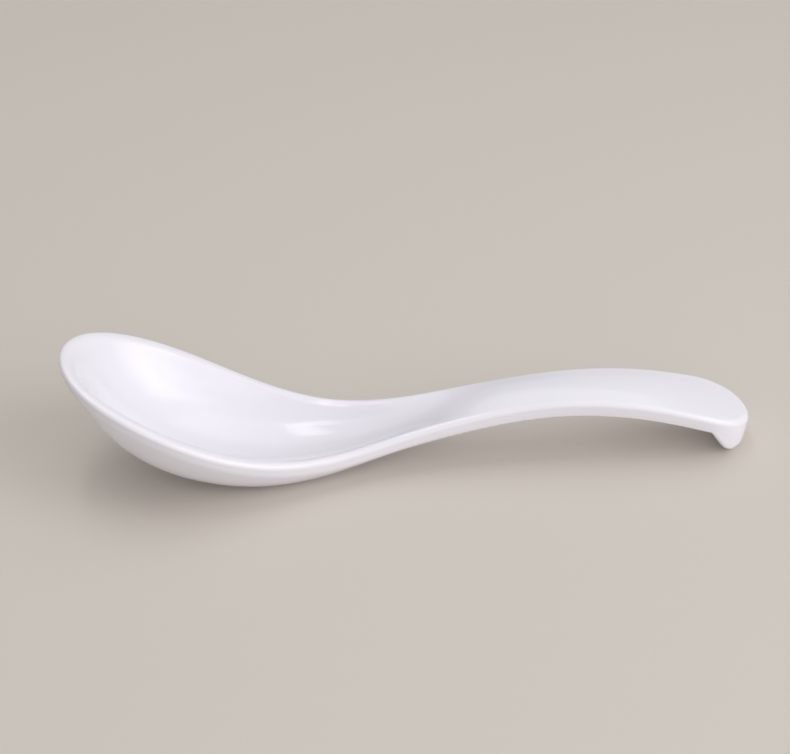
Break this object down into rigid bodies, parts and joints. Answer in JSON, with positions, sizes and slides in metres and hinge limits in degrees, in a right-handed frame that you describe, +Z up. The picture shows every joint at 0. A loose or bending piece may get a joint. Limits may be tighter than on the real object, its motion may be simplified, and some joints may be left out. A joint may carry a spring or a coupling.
{
  "type": "soup spoon",
  "caption": "White glossy soup spoon: upswept oval bowl, channelled neck, wide arched handle and a short turned-down hook that hangs it on a bowl's rim.",
  "frame": {"origin": "centre of the box's base: half way along the spoon, on its plane of symmetry, at the height of the surface that it rests on", "axes": "+X from the bowl's tip to the end of the handle, +Y across the spoon, +Z up with the spoon resting on the bowl's foot and on the hook"},
  "size_m": [0.17, 0.0458, 0.0339],
  "materials": {
    "melamine": "glossy moulded melamine, milky white, very slightly warm at the edges"
  },
  "bodies": {
    "root": {"bowl": "melamine", "handle": "melamine", "hook": "melamine"}
  },
  "joints": []
}
